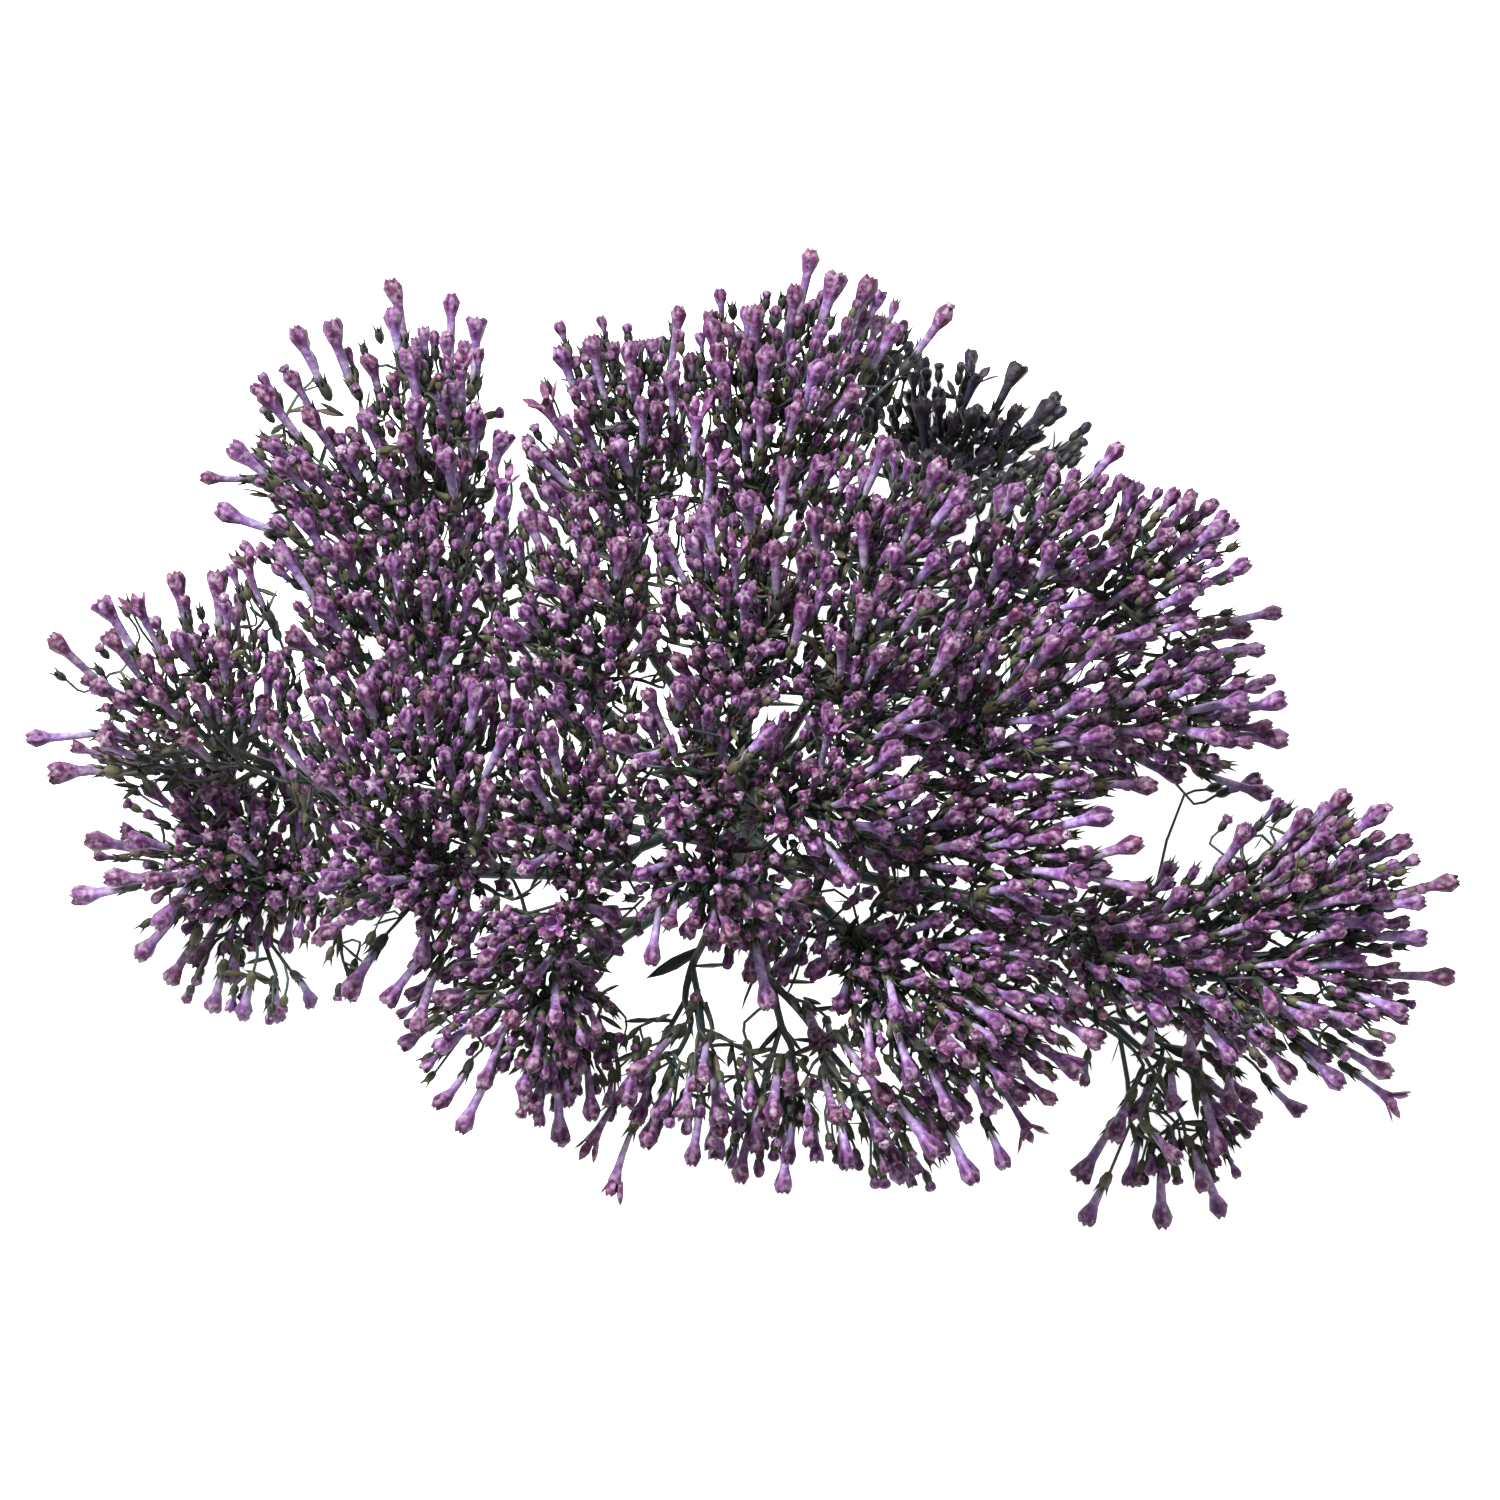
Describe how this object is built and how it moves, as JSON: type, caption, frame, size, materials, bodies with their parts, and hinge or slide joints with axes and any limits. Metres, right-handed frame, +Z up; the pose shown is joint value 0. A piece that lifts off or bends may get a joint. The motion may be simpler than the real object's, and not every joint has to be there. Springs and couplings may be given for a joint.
{
  "type": "dried trachelium flower head",
  "caption": "Broad, branching head of dried trachelium: thin violet floret tubes with club-shaped closed tips on fine dark green stalks, cut with a short stem and lying face up.",
  "frame": {"origin": "on the surface that the head lies on, below the middle of its bounding box", "axes": "+X along the head's long side, +Z up through the open face of the head, +Y the way that the florets of the head lean"},
  "size_m": [0.144, 0.0988, 0.0526],
  "materials": {
    "corolla": "matte, dried and wrinkled",
    "stem": "matte, dried green"
  },
  "bodies": {
    "root": {"stem": "stem", "spray_centre": "corolla", "spray_north": "corolla", "spray_east": "corolla", "spray_top_left": "corolla", "spray_east_low": "corolla", "spray_west_low": "corolla", "spray_north_east": "corolla", "spray_middle_front": "corolla", "spray_west": "corolla", "spray_south_east": "corolla", "spray_upper_left": "corolla", "spray_right": "corolla", "spray_far_left": "corolla", "spray_far_right": "corolla", "spray_front_left": "corolla", "spray_front": "corolla", "spray_front_right": "corolla", "spray_lower_left": "corolla", "spray_lower_right": "corolla", "spray_low_back": "corolla"}
  },
  "joints": []
}
